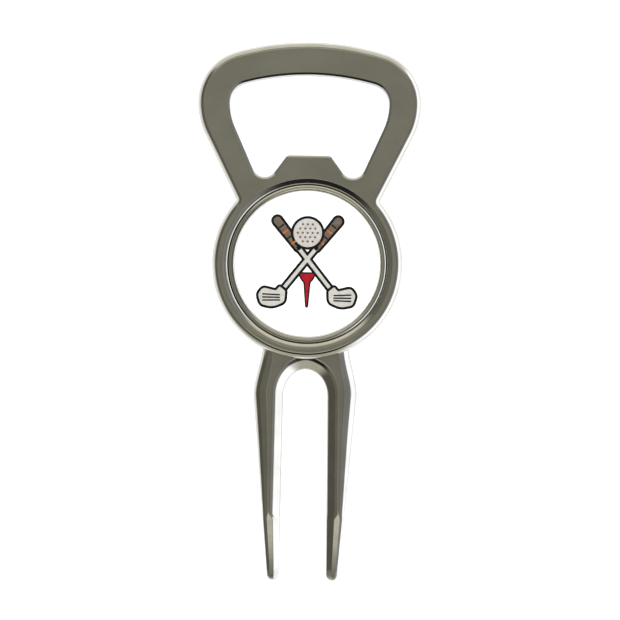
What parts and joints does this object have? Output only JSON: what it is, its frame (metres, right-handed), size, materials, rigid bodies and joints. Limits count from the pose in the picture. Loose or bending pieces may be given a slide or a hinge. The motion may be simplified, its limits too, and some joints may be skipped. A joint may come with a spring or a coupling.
{
  "type": "divot repair tool",
  "caption": "Flat metal golf divot repair tool with two tapered prongs, a magnetic seat holding a lift-off ball marker, and a bottle-opener loop.",
  "frame": {"origin": "centre of the marker seat, on the flat back face", "axes": "+Z out of the front face, +Y from the marker towards the opener loop, +X to the right as seen from the front"},
  "size_m": [0.0362, 0.0871, 0.0041],
  "materials": {
    "nickel_casting": "brushed flat faces, polished edges and prongs, warm nickel plating",
    "magnet_plating": "bright nickel plating",
    "adhesive": "dried clear glue",
    "marker_steel": "polished nickel plating",
    "print_white": "white printed film with a small drawing",
    "clear_resin": "clear, glossy poured resin"
  },
  "bodies": {
    "tool": {"tool_body": "nickel_casting", "magnet": "magnet_plating", "magnet_adhesive": "adhesive"},
    "marker": {"marker_coin": "marker_steel", "marker_adhesive": "adhesive", "marker_print": "print_white", "marker_dome": "clear_resin"}
  },
  "joints": [
    {"name": "marker_lift", "type": "slide", "parent": "tool", "child": "marker", "axis": [0, 0, 1], "range_m": [0, 0.02]}
  ]
}
